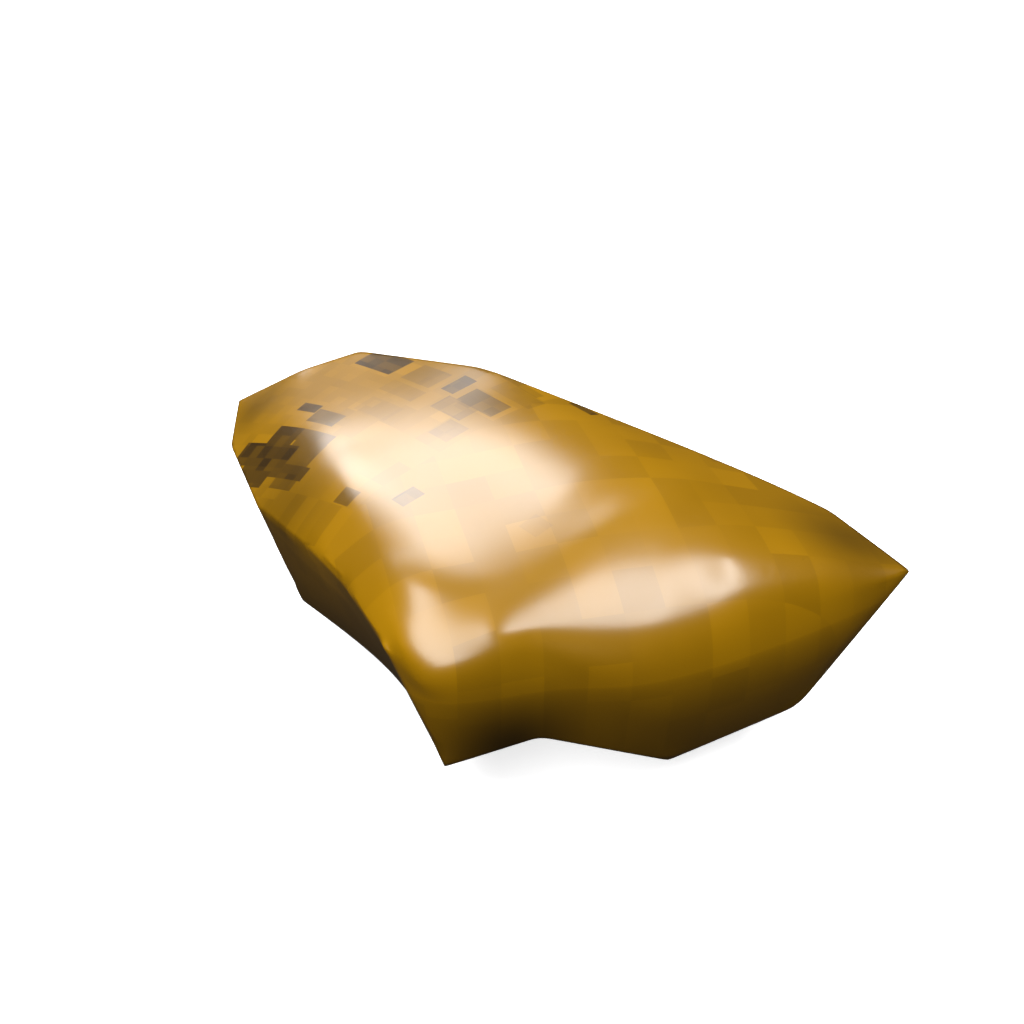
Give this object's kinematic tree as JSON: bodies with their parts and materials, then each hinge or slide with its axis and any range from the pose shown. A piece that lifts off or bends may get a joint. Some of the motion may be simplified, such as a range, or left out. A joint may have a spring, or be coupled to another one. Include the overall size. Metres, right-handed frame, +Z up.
{
  "type": "raw amber nugget",
  "caption": "Glossy honey-brown amber nugget, long and flat-topped, with a pointed end, a rounded head and a short spur at the front.",
  "frame": {"origin": "middle of the bounding box in X and Y, at the height of the resting facet", "axes": "+X from the rounded head to the pointed tip, +Y from the spur side to the back, +Z up"},
  "size_m": [0.062, 0.0352, 0.0216],
  "materials": {
    "amber": "glossy, strongly tinted resin, honey gold darkening to brown"
  },
  "bodies": {
    "root": {"amber_nugget": "amber"}
  },
  "joints": []
}
